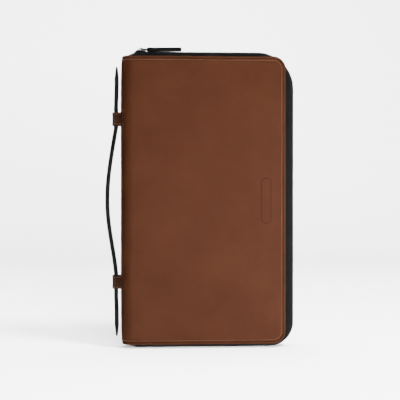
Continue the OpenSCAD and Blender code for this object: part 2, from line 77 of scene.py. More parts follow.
leather_lo, leather_hi = box("front_leather")
spine_lo, spine_hi = box("spine_leather")
chain_lo, chain_hi = box("zip_chain_front")
LEFT, RIGHT = spine_lo[0], leather_hi[0]
LOW, TOP = leather_lo[2], leather_hi[2]
HALF_T = -leather_lo[1]
LEATHER_T = leather_hi[1] - leather_lo[1]
FOLD = (spine_hi[0] + leather_lo[0]) / 2
SPINE_R = FOLD - LEFT
FLAT = HALF_T - SPINE_R
ARC = SPINE_R * math.pi / 2
WIDTH = FLAT + ARC + RIGHT - FOLD
CORNER_R = 10.5  # cover_r in the part's source
ZIP_LEFT, ZIP_RIGHT = chain_lo[0], chain_hi[0]
ZIP_LOW, ZIP_TOP = chain_lo[2], chain_hi[2]
ZIP_UPPER_R, ZIP_LOWER_R = 30, 20  # zip_upper_r and zip_lower_r in the part's source
CHAIN_Y = -chain_lo[1]
STITCH_IN = 3.5
STITCH_PITCH = 2.5

# A plain outline pressed into the front cover, in the leather's flat coordinates
MARK = (-(WIDTH - 16.5), (LOW + TOP) / 2 - 0.5)
MARK_HALF, MARK_R = 14.5, 4.0


def smooth(t):
    t = np.clip(t, 0, 1)
    return t * t * (3 - 2 * t)


def place(s, z, d, side):
    """Point d under the outer surface, at flat distance s from the spine's centre line and height z."""
    s, z, d = np.broadcast_arrays(*(np.asarray(a, float) for a in (s, z, d)))
    turn = np.clip((s - FLAT) / SPINE_R, 0, math.pi / 2)
    r = SPINE_R - d
    x = FOLD - r * np.cos(turn) + np.maximum(s - FLAT - ARC, 0)
    y = np.minimum(s, FLAT) + r * np.sin(turn)
    return np.stack([x, side * y, z], -1)


def spine_curl(s, z):
    """How far the spine's ends curve in, as a depth."""
    from_end = np.minimum(z - LOW, TOP - z)
    return 1.0 * np.exp(-np.maximum(from_end, 0) / 9) * (1 - smooth((s - FLAT - ARC + 5) / 20))


def cover_wave(s, z, side):
    """Soft unevenness of a cover's leather, as a depth."""
    from_end = np.minimum(z - LOW, TOP - z)
    inner = smooth((WIDTH - s - 6) / 14) * smooth((from_end - 6) / 16) * smooth((s - 14) / 20)
    broad = np.sin(s / 17 + side) * np.sin(z / 31 + 0.6)
    small = np.sin(s / 9.5 + z / 23) * np.sin(z / 14 - side)
    return 0.16 * inner * (broad + 0.6 * small) - 0.35 * inner


# ---- Materials ----


def new_material(name):
    m = bpy.data.materials.new(name)
    m.use_nodes = True
    nodes, links = m.node_tree.nodes, m.node_tree.links
    shader = nodes["Principled BSDF"]
    return m, nodes, links, shader


def noise(nodes, links, coords, scale, detail=3.0, rough=0.55):
    n = nodes.new("ShaderNodeTexNoise")
    n.inputs["Scale"].default_value = scale
    n.inputs["Detail"].default_value = detail
    n.inputs["Roughness"].default_value = rough
    links.new(coords, n.inputs["Vector"])
    return n.outputs["Fac"]


def voronoi(nodes, links, coords, scale):
    n = nodes.new("ShaderNodeTexVoronoi")
    n.feature = "DISTANCE_TO_EDGE"
    n.inputs["Scale"].default_value = scale
    links.new(coords, n.inputs["Vector"])
    return n.outputs["Distance"]


def wave(nodes, links, coords, scale, axis):
    n = nodes.new("ShaderNodeTexWave")
    n.bands_direction = axis
    n.inputs["Scale"].default_value = scale
    n.inputs["Distortion"].default_value = 0.6
    n.inputs["Detail Scale"].default_value = 0.5
    links.new(coords, n.inputs["Vector"])
    return n.outputs["Fac"]


def math_node(nodes, links, operation, a, b=0.0):
    n = nodes.new("ShaderNodeMath")
    n.operation = operation
    for socket, value in zip(n.inputs, (a, b)):
        if isinstance(value, (int, float)):
            socket.default_value = value
        else:
            links.new(value, socket)
    return n.outputs[0]


def ramp(nodes, links, fac, stops):
    n = nodes.new("ShaderNodeValToRGB")
    while len(n.color_ramp.elements) < len(stops):
        n.color_ramp.elements.new(0.5)
    for element, (at, colour) in zip(n.color_ramp.elements, stops):
        element.position = at
        element.color = (*colour, 1)
    links.new(fac, n.inputs["Fac"])
    return n.outputs["Color"]


def mixed(nodes, links, fac, a, b, blend="MIX"):
    n = nodes.new("ShaderNodeMix")
    n.data_type = "RGBA"
    n.blend_type = blend
    for socket, value in ((n.inputs[0], fac), (n.inputs[6], a), (n.inputs[7], b)):
        if isinstance(value, float):
            socket.default_value = value
        elif isinstance(value, tuple):
            socket.default_value = (*value, 1)
        else:
            links.new(value, socket)
    return n.outputs[2]


def bump(nodes, links, shader, height, strength, distance):
    n = nodes.new("ShaderNodeBump")
    n.inputs["Strength"].default_value = strength
    n.inputs["Distance"].default_value = distance
    links.new(height, n.inputs["Height"])
    links.new(n.outputs["Normal"], shader.inputs["Normal"])


def capsule_line(nodes, links, where, centre, half_length, radius, half_width):
    """1 on the outline of an upright capsule, 0 away from it."""
    split = nodes.new("ShaderNodeSeparateXYZ")
    links.new(where, split.inputs[0])

    def m(operation, a, b=0.0):
        return math_node(nodes, links, operation, a, b)

    across = m("SUBTRACT", split.outputs["X"], centre[0] * MM)
    along_it = m("ABSOLUTE", m("SUBTRACT", split.outputs["Y"], centre[1] * MM))
    along_it = m("MAXIMUM", m("SUBTRACT", along_it, half_length * MM), 0.0)
    reach = m("SQRT", m("ADD", m("MULTIPLY", across, across), m("MULTIPLY", along_it, along_it)))
    off = m("ABSOLUTE", m("SUBTRACT", reach, radius * MM))
    line = m("SUBTRACT", 1.0, m("MULTIPLY", off, 1 / (half_width * MM)))
    return m("MAXIMUM", line, 0.0)


# Painted light across a cover's edge, against a quarter of the inset in millimetres: a painted highlight on
# the rounded rim's ridge and painted shade in the stitch line's pressed crease
RIM_HIGHLIGHT_AND_CREASE_SHADE = [
    (0.0, (1, 1, 1)),
    (0.27, (1.15, 1.4, 1.6)),
    (0.38, (0.9, 0.9, 0.9)),
    (0.475, (0.42, 0.38, 0.36)),
    (0.58, (1, 1, 1)),
]


def leather(name, colour, dark, rough, grain, strength, coords="Object", edge=None):
    """Grained leather. grain is the number of grains in a metre; edge is the colour of a painted rim."""
    m, nodes, links, shader = new_material(name)
    where = nodes.new("ShaderNodeTexCoord").outputs[coords]
    clouds = noise(nodes, links, where, 26, 4)
    fine = noise(nodes, links, where, grain * 1.8, 5, 0.65)
    cells = voronoi(nodes, links, where, grain)
    cells = math_node(nodes, links, "MINIMUM", math_node(nodes, links, "MULTIPLY", cells, 4.0), 1.0)
    tone = ramp(nodes, links, clouds, [(0.32, dark), (0.66, colour)])
    speck = ramp(nodes, links, fine, [(0.3, (0.72, 0.70, 0.68)), (0.62, (1.06, 1.05, 1.04))])
    tone = mixed(nodes, links, 0.75, tone, speck, "MULTIPLY")
    if edge:
        inset = nodes.new("ShaderNodeAttribute")
        inset.attribute_name = "inset"
        at = math_node(nodes, links, "MULTIPLY", inset.outputs["Fac"], 0.25)
        # painted highlight on the rim's ridge and painted shade in the crease, multiplied into the
        # leather's tone
        tone = mixed(nodes, links, 1.0, tone, ramp(nodes, links, at, RIM_HIGHLIGHT_AND_CREASE_SHADE), "MULTIPLY")
        rim = ramp(nodes, links, at, [(0.06, (1, 1, 1)), (0.14, (0, 0, 0))])
        tone = mixed(nodes, links, rim, tone, edge)
        mark = capsule_line(nodes, links, where, MARK, MARK_HALF, MARK_R, 0.55)
        pressed = math_node(nodes, links, "MULTIPLY", mark, 0.8)
        tone = mixed(nodes, links, pressed, tone, tuple(c * 0.4 for c in dark))
    links.new(tone, shader.inputs["Base Color"])
    shine = ramp(nodes, links, fine, [(0.25, (rough + 0.12,) * 3), (0.75, (rough - 0.06,) * 3)])
    links.new(shine, shader.inputs["Roughness"])
    shader.inputs["Specular IOR Level"].default_value = 0.22
    height = math_node(nodes, links, "ADD", math_node(nodes, links, "MULTIPLY", cells, 0.6), fine)
    if edge:
        height = math_node(nodes, links, "SUBTRACT", height, math_node(nodes, links, "MULTIPLY", mark, 7.0))
    bump(nodes, links, shader, height, strength, 0.00035)
    return m


def cloth(name, colour, dark, pitch, coords="Object", axes="XZ"):
    """Woven cloth with threads pitch mm apart."""
    m, nodes, links, shader = new_material(name)
    where = nodes.new("ShaderNodeTexCoord").outputs[coords]
    scale = 0.314 / (pitch * MM)
    warp = wave(nodes, links, where, scale, axes[0])
    weft = wave(nodes, links, where, scale, axes[1])
    height = math_node(nodes, links, "MULTIPLY", warp, weft)
    fuzz = noise(nodes, links, where, 2600, 4)
    tone = ramp(nodes, links, height, [(0.05, dark), (0.7, colour)])
    speck = ramp(nodes, links, fuzz, [(0.3, (0.75, 0.75, 0.75)), (0.7, (1.15, 1.15, 1.15))])
    tone = mixed(nodes, links, 0.8, tone, speck, "MULTIPLY")
    links.new(tone, shader.inputs["Base Color"])
    shader.inputs["Roughness"].default_value = 0.85
    shader.inputs["Sheen Weight"].default_value = 0.08
    height = math_node(nodes, links, "ADD", height, math_node(nodes, links, "MULTIPLY", fuzz, 0.5))
    bump(nodes, links, shader, height, 0.6, 0.0002)
    return m


def metal(name, colour, rough):
    m, nodes, links, shader = new_material(name)
    where = nodes.new("ShaderNodeTexCoord").outputs["Object"]
    scratch = noise(nodes, links, where, 3200, 5, 0.7)
    blotch = noise(nodes, links, where, 240, 3)
    dull = tuple(c * 0.72 for c in colour)
    links.new(ramp(nodes, links, blotch, [(0.3, dull), (0.7, colour)]), shader.inputs["Base Color"])
    shine = ramp(nodes, links, scratch, [(0.3, (rough + 0.12,) * 3), (0.7, (rough - 0.08,) * 3)])
    links.new(shine, shader.inputs["Roughness"])
    shader.inputs["Metallic"].default_value = 1
    bump(nodes, links, shader, scratch, 0.12, 0.0001)
    return m


def plain(name, colour, dark, rough, scale, strength=0.25):
    """Moulded plastic, thread, board or floor: fine noise in tone and height."""
    m, nodes, links, shader = new_material(name)
    where = nodes.new("ShaderNodeTexCoord").outputs["Object"]
    grit = noise(nodes, links, where, scale, 4)
    links.new(ramp(nodes, links, grit, [(0.3, dark), (0.7, colour)]), shader.inputs["Base Color"])
    shader.inputs["Roughness"].default_value = rough
    bump(nodes, links, shader, grit, strength, 0.0001)
    return m


SADDLE = leather(
    "saddle_leather", (0.232, 0.076, 0.0325), (0.200, 0.064, 0.028), 0.50, 1150, 0.16,
    coords="UV", edge=(0.035, 0.016, 0.010),
)
KEEPER = leather("keeper_leather", (0.150, 0.058, 0.030), (0.115, 0.043, 0.023), 0.5, 950, 0.30)
INNER = leather("inner_leather", (0.200, 0.075, 0.036), (0.155, 0.056, 0.027), 0.55, 1200, 0.22)
STRAP = leather("strap_leather", (0.020, 0.019, 0.018), (0.012, 0.011, 0.011), 0.42, 1300, 0.14)
LINING = cloth("lining_cloth", (0.21, 0.145, 0.09), (0.10, 0.065, 0.04), 0.55)
POCKET_CLOTH = cloth("pocket_cloth", (0.035, 0.034, 0.033), (0.012, 0.012, 0.012), 0.5)
TAPE = cloth("zip_tape", (0.0088, 0.0092, 0.0088), (0.0035, 0.0037, 0.0035), 0.7, "UV", "XY")
TEETH = plain("zip_teeth", (0.022, 0.022, 0.023), (0.012, 0.012, 0.013), 0.38, 2500)
THREAD = plain("thread", (0.52, 0.30, 0.20), (0.36, 0.19, 0.115), 0.7, 4000, 0.5)
DARK_THREAD = plain("dark_thread", (0.045, 0.043, 0.040), (0.025, 0.024, 0.023), 0.6, 4000, 0.5)
METAL = metal("gunmetal", (0.42, 0.41, 0.39), 0.33)
DARK_METAL = metal("black_nickel", (0.075, 0.073, 0.070), 0.30)
BOARD = plain("fibreboard", (0.42, 0.37, 0.30), (0.30, 0.26, 0.21), 0.9, 900)


# ---- Meshes ----


def make(name, verts, faces, material, uvs=None, inset=None, sharp=45, fix_normals=True):
    """Mesh object from points in millimetres. uvs are given for each vertex, in millimetres."""
    mesh = bpy.data.meshes.new(name)
    mesh.from_pydata((np.asarray(verts, float) * MM).tolist(), [], [list(map(int, f)) for f in faces])
    if fix_normals:
        bm = bmesh.new()
        bm.from_mesh(mesh)
        bmesh.ops.recalc_face_normals(bm, faces=bm.faces)
        bm.to_mesh(mesh)
        bm.free()
    mesh.polygons.foreach_set("use_smooth", [True] * len(mesh.polygons))
    if uvs is not None:
        layer = mesh.uv_layers.new(name="flat")
        index = np.zeros(len(mesh.loops), int)
        mesh.loops.foreach_get("vertex_index", index)
        layer.data.foreach_set("uv", (np.asarray(uvs, float)[index] * MM).ravel())
    if inset is not None:
        layer = mesh.attributes.new("inset", "FLOAT", "POINT")
        layer.data.foreach_set("value", np.asarray(inset, np.float32))
    mesh.set_sharp_from_angle(angle=math.radians(sharp))
    mesh.materials.append(material)
    obj = bpy.data.objects.new(name, mesh)
    bpy.context.scene.collection.objects.link(obj)
    return obj


class Parts:
    """Collects closed shapes into one mesh."""

    def __init__(self):
        self.verts, self.faces, self.count = [], [], 0

    def add(self, verts, faces):
        verts = np.asarray(verts, float)
        self.verts.append(verts)
        self.faces += [[i + self.count for i in f] for f in faces]
        self.count += len(verts)

    def make(self, name, material, **options):
        return make(name, np.concatenate(self.verts), self.faces, material, **options)


def densify(points, step, closed):
    """Points along a polyline, no further than step apart."""
    points = [np.asarray(p, float) for p in points]
    ends = points + [points[0]] if closed else points
    out = []
    for a, b in zip(ends, ends[1:]):
        n = max(1, math.ceil(np.linalg.norm(b - a) / step - 1e-9))
        out += [a + (b - a) * i / n for i in range(n)]
    return np.array(out if closed else out + [ends[-1]])


def ring(rect, r, step, open_left=False):
    """Points round a rectangle (x0, x1, z0, z1) with round corners, open along x0 if asked."""
    x0, x1, z0, z1 = rect
    r = max(r, 0.2)
    centres = [(x1 - r, z0 + r, -90), (x1 - r, z1 - r, 0), (x0 + r, z1 - r, 90), (x0 + r, z0 + r, 180)]
    n = max(3, math.ceil(r * math.pi / 2 / step))
    points = []
    for cx, cz, start in centres[: 2 if open_left else 4]:
        for i in range(n + 1):
            a = math.radians(start + 90 * i / n)
            points.append((cx + r * math.cos(a), cz + r * math.sin(a)))
    if open_left:
        points = [(x0, z0)] + points + [(x0, z1)]
    return densify(points, step, not open_left)


def shrink(rect, e, open_left=False):
    x0, x1, z0, z1 = rect
    return (x0 if open_left else x0 + e, x1 - e, z0 + e, z1 - e)


def inset_of(u, v, rect, r, open_left=False):
    """Distance inwards from a rounded rectangle's outline."""
    x0, x1, z0, z1 = rect
    dx = x1 - u if open_left else np.minimum(u - x0, x1 - u)
    dz = np.minimum(v - z0, z1 - v)
    corner = r - np.hypot(r - dx, r - dz)
    return np.maximum(np.where((dx < r) & (dz < r), corner, np.minimum(dx, dz)), 0)


def sheet(
    name, rect, r, profile, placer, thick, material, columns, rows,
    step=1.2, open_left=False, extra=None, uv_sign=1, hole=None,
):
    """Sheet with a shaped rim.

    profile lists (inset, depth) from the outline inwards; placer turns (u, v, depth) into points.
    """
    loops, edges, points = [], [], []
    for e, _ in profile:
        loops.append((ring(shrink(rect, e, open_left), r - e, step, open_left), not open_left))
    if hole:
        for e in (0, 0.4, 1.0):
            loops.append((ring(shrink(hole, -e), 1 + e, step), True))
    for loop, closed in loops:
        first = len(points)
        points.extend(loop)
        edges += [(first + i, first + i + 1) for i in range(len(loop) - 1)]
        if closed:
            edges.append((first + len(loop) - 1, first))
    u, v = (a.ravel() for a in np.meshgrid(columns, rows))
    keep = inset_of(u, v, rect, r, open_left) > profile[-1][0] + 0.6
    keep &= (u >= rect[0]) & (v > rect[2]) & (v < rect[3])
    if hole:
        keep &= (u < hole[0] - 2) | (u > hole[1] + 2) | (v < hole[2] - 2) | (v > hole[3] + 2)
    points.extend(np.stack([u[keep], v[keep]], 1))
    result = delaunay_2d_cdt([Vector(p) for p in points], edges, [], 0, 1e-5)
    uv = np.array([list(p) for p in result[0]])
    tris = np.array(result[2])
    if hole:
        mid = uv[tris].mean(1)
        in_u = (mid[:, 0] > hole[0]) & (mid[:, 0] < hole[1])
        in_v = (mid[:, 1] > hole[2]) & (mid[:, 1] < hole[3])
        tris = tris[~(in_u & in_v)]
    u, v = uv.T
    e = inset_of(u, v, rect, r, open_left)
    d = np.interp(e, *zip(*profile))
    if hole:
        off_u = np.maximum(np.maximum(hole[0] - u, u - hole[1]), 0)
        off_v = np.maximum(np.maximum(hole[2] - v, v - hole[3]), 0)
        d = np.maximum(d, np.interp(np.hypot(off_u, off_v), [0, 0.4, 1.0], [0.35, 0.08, 0]))
    more = extra(u, v) if extra else 0
    verts = np.concatenate([placer(u, v, d + more), placer(u, v, np.maximum(thick, d + 0.05) + more)])
    n = len(uv)
    once = {}
    for a, b, c in tris:
        for p, q in ((a, b), (b, c), (c, a)):
            key = (min(p, q), max(p, q))
            once[key] = None if key in once else (p, q)
    faces = tris.tolist() + (tris[:, ::-1] + n).tolist()
    faces += [[q, p, p + n, q + n] for p, q in filter(None, once.values())]
    flat = np.stack([uv_sign * u, v], 1)
    both = np.concatenate([flat, flat])
    return make(name, verts, faces, material, uvs=both, inset=np.concatenate([e, e]))


def along(points, pitch, closed=False):
    """Evenly spaced points on a polyline and its directions there."""
    points = np.asarray(points, float)
    if closed:
        points = np.concatenate([points, points[:1]])
    steps = np.linalg.norm(np.diff(points, axis=0), axis=1)
    points = points[np.concatenate([[True], steps > 1e-9])]
    length = np.concatenate([[0], np.cumsum(np.linalg.norm(np.diff(points, axis=0), axis=1))])
    count = max(1, int(length[-1] / pitch))
    at = (np.arange(count) + 0.5) * length[-1] / count
    spots = np.stack([np.interp(at, length, points[:, k]) for k in range(points.shape[1])], 1)
    ahead = np.stack([np.interp(at + 0.3, length, points[:, k]) for k in range(points.shape[1])], 1)
    behind = np.stack([np.interp(at - 0.3, length, points[:, k]) for k in range(points.shape[1])], 1)
    way = ahead - behind
    return spots, way / np.linalg.norm(way, axis=1, keepdims=True), at


def unit(v):
    return v / np.maximum(np.linalg.norm(v, axis=-1, keepdims=True), 1e-12)


def tube_faces(around, rows, caps=True):
    """Faces of a tube whose rows have the same number of points around."""
    faces = []
    for i in range(rows - 1):
        for j in range(around):
            k = (j + 1) % around
            faces.append([i * around + j, i * around + k, (i + 1) * around + k, (i + 1) * around + j])
    if caps:
        faces += [list(range(around))[::-1], [(rows - 1) * around + j for j in range(around)]]
    return faces


def stitches(
    name, paths, placer, material,
    extra=None, length=1.75, radius=0.27, slant=0.14, pitch=STITCH_PITCH, closed=False,
):
    """Rows of stitches along 2D paths on a surface given by placer."""
    sides = 7
    xs = np.array([-0.5, -0.43, -0.2, 0.2, 0.43, 0.5]) * length
    rs = np.array([0.4, 0.8, 1, 1, 0.8, 0.4]) * radius
    lifts = np.array([-0.9, -0.25, 0.25, 0.25, -0.25, -0.9]) * radius
    turns = np.arange(sides) * 2 * math.pi / sides
    parts = Parts()
    faces = tube_faces(sides, len(xs))
    for path in paths:
        spots, way, _ = along(path, pitch, closed)
        u, v = spots.T
        deep = extra(u, v) if extra else np.zeros(len(u))
        centre = placer(u, v, deep)
        normal = unit(placer(u, v, deep - 1) - centre)
        du, dv = way.T * 0.3
        ahead = unit(placer(u + du, v + dv, deep) - placer(u - du, v - dv, deep))
        aside = np.cross(normal, ahead)
        lean = slant + rng.normal(0, 0.03, len(u))[:, None]
        tangent = ahead * np.cos(lean) + aside * np.sin(lean)
        across = aside * np.cos(lean) - ahead * np.sin(lean)
        for c, t, b, n in zip(centre, tangent, across, normal):
            circle = np.cos(turns)[:, None] * b + np.sin(turns)[:, None] * n
            rows = [c + x * t + (lift + 0.02) * n + r * circle for x, r, lift in zip(xs, rs, lifts)]
            parts.add(np.concatenate(rows), faces)
    return parts.make(name, material, sharp=60)


def slab(outline, h0, h1, bevel, frame3, rounds=3):
    """Closed slab over a convex anticlockwise outline, with rounded edges.

    frame3 is (origin, u, v, up).
    """
    origin, ax_u, ax_v, ax_h = (np.asarray(a, float) for a in frame3)
    p = np.asarray(outline, float)
    forward = unit(np.roll(p, -1, 0) - p)
    back = unit(p - np.roll(p, 1, 0))
    normal = unit(unit(forward + back)[:, ::-1] * [1, -1])
    levels = []
    for i in range(rounds + 1):
        a = math.pi / 2 * i / rounds
        levels.append((bevel * (1 - math.sin(a)), h0 + bevel * (1 - math.cos(a))))
    levels += [(inset, h1 - (h - h0)) for inset, h in levels[::-1]]
    verts = []
    for inset, h in levels:
        q = p - normal * inset
        verts.append(origin + q[:, :1] * ax_u + q[:, 1:] * ax_v + h * ax_h)
    return np.concatenate(verts), tube_faces(len(p), len(levels))


def sweep(centres, us, vs, sections, closed=False, caps=True):
    """Tube through cross-sections: each section's points are (a, b) along us and vs."""
    rows = [c + s[:, :1] * u + s[:, 1:] * v for c, u, v, s in zip(centres, us, vs, sections)]
    n, m = len(sections[0]), len(rows)
    faces = tube_faces(n, m, caps and not closed)
    if closed:
        last = (m - 1) * n
        faces += [[last + j, last + (j + 1) % n, (j + 1) % n, j] for j in range(n)]
    return np.concatenate(rows), faces


def round_section(w, t, r, n=5):
    """Rounded rectangle section, w along the first direction and t along the second."""
    r = min(r, w / 2 - 1e-3, t / 2 - 1e-3)
    a, b = w / 2 - r, t / 2 - r
    points = []
    for cx, cy, start in ((a, -b, -90), (a, b, 0), (-a, b, 90), (-a, -b, 180)):
        for i in range(n + 1):
            turn = math.radians(start + 90 * i / n)
            points.append((cx + r * math.cos(turn), cy + r * math.sin(turn)))
    return np.array(points)


def fold(obj):
    """Bakes a piece's placement into its mesh."""
    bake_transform(obj)


def finish_piece(obj, body=None, nodes=()):
    if body:
        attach(obj, body)
    if nodes:
        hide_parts(*nodes)
    return obj


# ---- Covers and spine ----

# (inset, depth): the rounded edge, the pressed crease, the groove that the stitches lie in, the flat
RIM = [
    (0, 1.12), (0.1, 0.78), (0.28, 0.47), (0.55, 0.22), (0.9, 0.07),
    (1.25, 0.04), (1.55, 0.2), (1.85, 0.5), (2.15, 0.24), (2.5, 0.05),
    (2.9, 0.04), (3.2, 0.13), (3.5, 0.24), (3.8, 0.13), (4.15, 0.03),
    (5.2, 0), (6.8, -0.02), (9, 0),
]
LINING_RIM = [(0, 0.5), (0.3, 0.3), (0.8, 0.2), (2, 0.15)]
LINING_T = 0.7
LINING_IN = 3.4
cover_rect = (0, WIDTH, LOW, TOP)
bend_end = FLAT + ARC + 6
fine_columns = np.concatenate([np.arange(0, bend_end, 1.0), np.arange(bend_end, WIDTH - 8, 3.6)])
fine_rows = np.arange(LOW + 3, TOP, 3.0)
lining_columns = np.concatenate([np.arange(0, bend_end, 1.2), np.arange(bend_end, WIDTH - 5, 8)])
lining_rows = np.arange(LOW + 6, TOP - 5, 8)

for side in (FRONT, BACK):
    name = SIDES[side]

    def on_cover(s, z, d, side=side):
        return place(s, z, d, side)

    def uneven(s, z, side=side):
        return spine_curl(s, z) + cover_wave(s, z, side)

    shell = sheet(
        name + "_shell", cover_rect, CORNER_R, RIM, on_cover, LEATHER_T, SADDLE,
        fine_columns, fine_rows, step=1.0, open_left=True, extra=uneven, uv_sign=side,
    )
    fold(shell)
    finish_piece(shell, nodes=[name + "_leather", "spine_leather", "spine_board"])

    line = ring(shrink(cover_rect, STITCH_IN, True), CORNER_R - STITCH_IN, 0.5, True)
    row = stitches(
        name + "_cover_stitches", [line], on_cover, THREAD, extra=lambda s, z: uneven(s, z) + 0.12,
    )
    fold(row)
    finish_piece(row)

    lining_lo, lining_hi = box(name + "_lining")
    lining_d = HALF_T - max(abs(lining_lo[1]), abs(lining_hi[1]))
    lining = sheet(
        name + "_lining_cloth", shrink(cover_rect, LINING_IN, True), CORNER_R - 2, LINING_RIM,
        lambda s, z, d: place(s, z, lining_d + LINING_T + 0.05 - d, side), LINING_T, LINING,
        lining_columns, lining_rows,
        step=2.5, open_left=True, extra=lambda s, z: -spine_curl(s, z), uv_sign=side,
    )
    fold(lining)
    finish_piece(lining, nodes=[name + "_lining", "spine_lining"])


# ---- Main zip ----

TAPE_IN = 1.0
TAPE_T = 0.5
TOOTH_PITCH = 2.4
TAIL_STEPS = 16


def corner(cx, cz, r, start, stop, n):
    turns = np.radians(np.linspace(start, stop, n))
    return [(cx + r * math.cos(a), cz + r * math.sin(a)) for a in turns]


def zip_line(inset):
    """The zip's path, from the spine along the top, round the free side and back along the bottom."""
    r1, r2 = ZIP_UPPER_R - inset, ZIP_LOWER_R - inset
    cx1, cz1 = ZIP_RIGHT - ZIP_UPPER_R, ZIP_TOP - ZIP_UPPER_R
    cx2, cz2 = ZIP_RIGHT - ZIP_LOWER_R, ZIP_LOW + ZIP_LOWER_R
    return [
        [(x, ZIP_TOP - inset) for x in np.linspace(ZIP_LEFT, cx1, 60)],
        corner(cx1, cz1, r1, 90, 0, 24),
        [(ZIP_RIGHT - inset, z) for z in np.linspace(cz1, cz2, 90)],
        corner(cx2, cz2, r2, 0, -90, 18),
        [(x, ZIP_LOW + inset) for x in np.linspace(cx2, ZIP_LEFT, 60)],
    ]


def seam_line(inset):
    """The seam's path on the leather, in step with zip_line."""
    r = CORNER_R - inset
    s0 = FLAT + ARC + ZIP_LEFT - FOLD
    return [
        [(s, TOP - inset) for s in np.linspace(s0, WIDTH - CORNER_R, 60)],
        corner(WIDTH - CORNER_R, TOP - CORNER_R, r, 90, 0, 24),
        [(WIDTH - inset, z) for z in np.linspace(TOP - CORNER_R, LOW + CORNER_R, 90)],
        corner(WIDTH - CORNER_R, LOW + CORNER_R, r, 0, -90, 18),
        [(s, LOW + inset) for s in np.linspace(WIDTH - CORNER_R, s0, 60)],
    ]


def gusset(side):
    """Tape from under the leather's edge to the teeth, and down to the seam over the spine's ends."""
    seam = [p for part in seam_line(3.0) for p in part]
    teeth = [p for part in zip_line(TAPE_IN) for p in part]
    s0 = seam[0][0]

    def tail_station(i, seam_z, inner_z, outer_z):
        f = i / TAIL_STEPS
        x = LEFT + 2.6 + (ZIP_LEFT - LEFT - 2.6) * f
        return s0 * f, seam_z, x, inner_z + (outer_z - inner_z) * f**0.75, f

    stations = [tail_station(i, TOP - 3, TOP - 1.2, ZIP_TOP - TAPE_IN) for i in range(TAIL_STEPS)]
    stations += [(a[0], a[1], b[0], b[1], 1) for a, b in zip(seam, teeth)]
    stations += [tail_station(i, LOW + 3, LOW + 1.2, ZIP_LOW + TAPE_IN) for i in range(TAIL_STEPS)][::-1]
    bends = np.linspace(0, math.pi / 2, 11)
    verts, uvs = [], []
    run = 0.0
    last = None
    for s, z, bx, bz, f in stations:
        a = place(s, z, LEATHER_T + 0.15, side)
        b = np.array([bx, side * (0.25 + (CHAIN_Y - 0.6) * f), bz])
        if last is not None:
            run += np.linalg.norm(b - last)
        last = b
        pucker = 0.10 * math.sin(run / 1.25 + side) + 0.12 * math.sin(run / 4.1)
        for k, t in enumerate(bends):
            p = a + (b - a) * [math.sin(t), 1 - math.cos(t), math.sin(t)]
            p[1] += side * pucker * math.sin(2 * t) * f
            verts.append(p)
            uvs.append((run, 15 * k / len(bends)))
        verts.append(np.array([b[0], side * (0.25 + 0.75 * f), b[2]]))
        uvs.append((run, 17))
    n = len(bends) + 1
    starts = [i * n + j for i in range(len(stations) - 1) for j in range(n - 1)]
    return verts, [[k, k + 1, k + n + 1, k + n] for k in starts], uvs


def tooth(side):
    """One tooth: a root clamped on the tape and a head that reaches over the middle.

    Points are (along, y, out); each row below is (y, half width, outer face, inner face).
    """
    rows = [
        (2.75, 0.7, -0.5, -1.5), (2.5, 0.95, -0.1, -1.9), (1.3, 0.95, 0, -2.0),
        (0.8, 0.6, -0.1, -1.9), (0.3, 0.6, -0.1, -1.9), (0.0, 0.72, -0.05, -1.95),
        (-0.45, 0.72, -0.1, -1.9), (-0.7, 0.5, -0.4, -1.6),
    ]
    verts = []
    for y, half, high, low in rows:
        verts += [(-half, y, high), (half, y, high), (half, y, low), (-half, y, low)]
    return np.array(verts) * [1, side, 1], tube_faces(4, len(rows))


def chain(name, line, side, pitch, spread):
    """A row of teeth along a path of (x, z) points whose outward side is on the left.

    spread is how far the first teeth stand off the middle, where the slider parts them.
    """
    template, faces = tooth(side)
    parts = Parts()
    spots, way, at = along(line, pitch)
    cord = densify(line, 2, False)
    cord_way = unit(np.gradient(cord, axis=0))
    cord_out = np.stack([-cord_way[:, 1], np.zeros(len(cord)), cord_way[:, 0]], 1)
    cord_mid = np.stack([cord[:, 0], np.full(len(cord), side * 1.75), cord[:, 1]], 1) - cord_out
    through = np.tile([0.0, 1.0, 0.0], (len(cord), 1))
    parts.add(*sweep(cord_mid, cord_out, through, [round_section(1.7, 1.9, 0.8, 3)] * len(cord)))
    phase = 0 if side == FRONT else 0.5
    spots = spots + way * pitch * (phase - 0.25)
    for spot, t, run in zip(spots, way, at):
        apart = spread * max(0, 1 - run / 7)
        x = spot[0] + template[:, 0] * t[0] - template[:, 2] * t[1]
        z = spot[1] + template[:, 0] * t[1] + template[:, 2] * t[0]
        parts.add(np.stack([x, template[:, 1] + side * apart, z], 1), faces)
    return parts.make(name, TEETH, sharp=35)


for side in (FRONT, BACK):
    name = SIDES[side]
    verts, faces, uvs = gusset(side)
    tape = make(name + "_zip_gusset", verts, faces, TAPE, uvs=uvs, sharp=60, fix_normals=False)
    thicken = tape.modifiers.new("thickness", "SOLIDIFY")
    thicken.thickness = TAPE_T * MM
    thicken.offset = 0
    fold(tape)
    finish_piece(tape, nodes=["zip_tape_" + name, "spine_tape_top", "spine_tape_bottom"])
    path = [p for part in zip_line(0) for p in part]
    row = chain(name + "_zip_teeth", path, side, TOOTH_PITCH, spread=0.8)
    finish_piece(row, name + "_cover", ["zip_chain_" + name])


# ---- Handle ----

